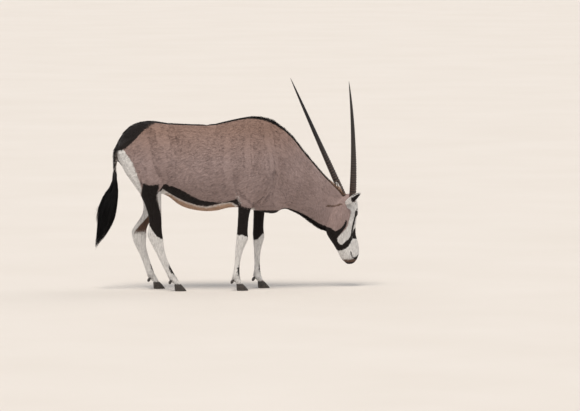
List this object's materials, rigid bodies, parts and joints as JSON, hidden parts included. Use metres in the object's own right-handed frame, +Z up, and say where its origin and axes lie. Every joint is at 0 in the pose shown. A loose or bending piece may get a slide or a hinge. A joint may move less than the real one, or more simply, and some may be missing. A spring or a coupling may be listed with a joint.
{
  "type": "gemsbok",
  "caption": "Standing African antelope with long straight ringed horns, head lowered and turned aside, slim legs with cloven hooves and a long tufted tail.",
  "frame": {"origin": "on the floor, under the middle of the animal's whole length and width", "axes": "+X the way the body faces, +Y to the animal's left, +Z up"},
  "size_m": [1.8149, 0.5419, 1.4226],
  "materials": {
    "coat": "short flat fawn-grey hair",
    "face": "short flat white hair with black bands",
    "leg_coat": "short flat dark brown hair above, white below",
    "tail_hair": "long coarse black hair",
    "horn": "horn, ringed and dull below, smoother above",
    "hoof": "dull dark grey horn",
    "eye": "wet dark brown"
  },
  "bodies": {
    "root": {"torso": "coat", "neck": "coat", "head": "face", "eye_left": "eye", "horn_left": "horn", "ear_left": "face", "eye_right": "eye", "horn_right": "horn", "ear_right": "face", "hind_leg_right": "leg_coat", "hind_leg_right_hoof_inner": "hoof", "hind_leg_right_dew_claw_inner": "hoof", "hind_leg_right_hoof_outer": "hoof", "hind_leg_right_dew_claw_outer": "hoof", "hind_leg_left": "leg_coat", "hind_leg_left_hoof_inner": "hoof", "hind_leg_left_dew_claw_inner": "hoof", "hind_leg_left_hoof_outer": "hoof", "hind_leg_left_dew_claw_outer": "hoof", "fore_leg_right": "leg_coat", "fore_leg_right_hoof_inner": "hoof", "fore_leg_right_dew_claw_inner": "hoof", "fore_leg_right_hoof_outer": "hoof", "fore_leg_right_dew_claw_outer": "hoof", "fore_leg_left": "leg_coat", "fore_leg_left_hoof_inner": "hoof", "fore_leg_left_dew_claw_inner": "hoof", "fore_leg_left_hoof_outer": "hoof", "fore_leg_left_dew_claw_outer": "hoof", "tail": "tail_hair", "tail_tuft": "tail_hair"}
  },
  "joints": []
}
